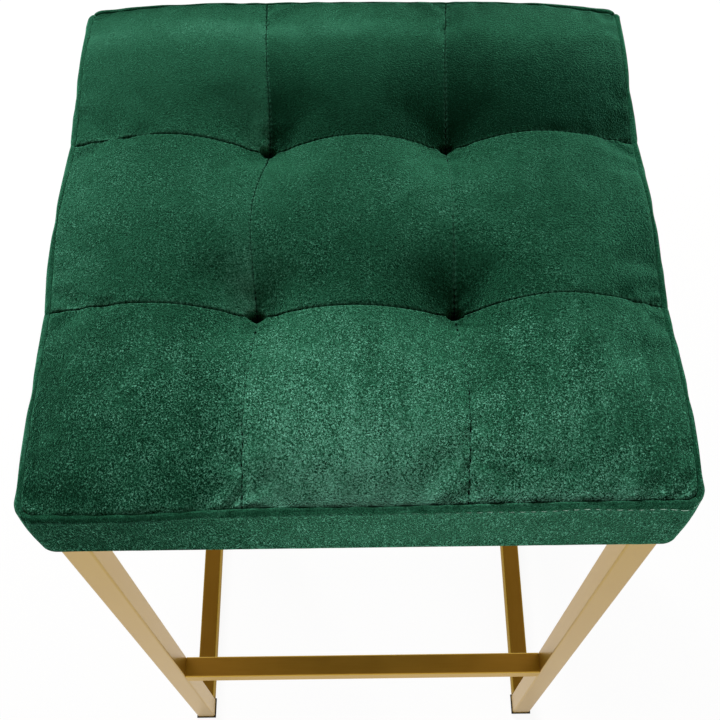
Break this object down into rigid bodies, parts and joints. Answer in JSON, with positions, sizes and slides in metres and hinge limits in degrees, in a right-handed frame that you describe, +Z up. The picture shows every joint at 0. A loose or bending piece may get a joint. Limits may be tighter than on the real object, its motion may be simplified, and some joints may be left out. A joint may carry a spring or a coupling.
{
  "type": "counter stool",
  "caption": "Backless counter stool: a square tufted green velvet seat on a gold-finished square tube sled frame with a foot rail.",
  "frame": {"origin": "on the floor, under the middle of the seat", "axes": "+X from left to right as the front is seen, +Y from the front to the back, +Z up"},
  "size_m": [0.393, 0.398, 0.6965],
  "materials": {
    "gold_plated_steel": "polished brass-coloured plating on square steel tube",
    "green_velvet": "short pile emerald velvet with a soft sheen",
    "glide_plastic": "moulded black plastic",
    "zinc_steel": "zinc plated",
    "plywood": "unfinished plywood",
    "foam": "open cell upholstery foam",
    "twine": "waxed tufting twine",
    "dust_cloth": "black non-woven cloth"
  },
  "bodies": {
    "root": {"left_front_leg": "gold_plated_steel", "right_front_leg": "gold_plated_steel", "left_rear_leg": "gold_plated_steel", "right_rear_leg": "gold_plated_steel", "left_floor_rail": "gold_plated_steel", "right_floor_rail": "gold_plated_steel", "front_foot_rail": "gold_plated_steel", "rear_stretcher": "gold_plated_steel", "left_seat_rail": "gold_plated_steel", "right_seat_rail": "gold_plated_steel", "front_seat_rail": "gold_plated_steel", "rear_seat_rail": "gold_plated_steel", "front_left_tab": "gold_plated_steel", "front_right_tab": "gold_plated_steel", "rear_left_tab": "gold_plated_steel", "rear_right_tab": "gold_plated_steel", "front_left_glide": "glide_plastic", "front_right_glide": "glide_plastic", "rear_left_glide": "glide_plastic", "rear_right_glide": "glide_plastic", "seat_screws": "zinc_steel", "seat_washers": "zinc_steel", "tee_nuts": "zinc_steel", "seat_board": "plywood", "foam_core": "foam", "tuft_twines": "twine", "quilted_top_panel": "green_velvet", "front_band_strip": "green_velvet", "right_band_strip": "green_velvet", "rear_band_strip": "green_velvet", "left_band_strip": "green_velvet", "dust_cover": "dust_cloth", "seat_staples": "zinc_steel"}
  },
  "joints": []
}
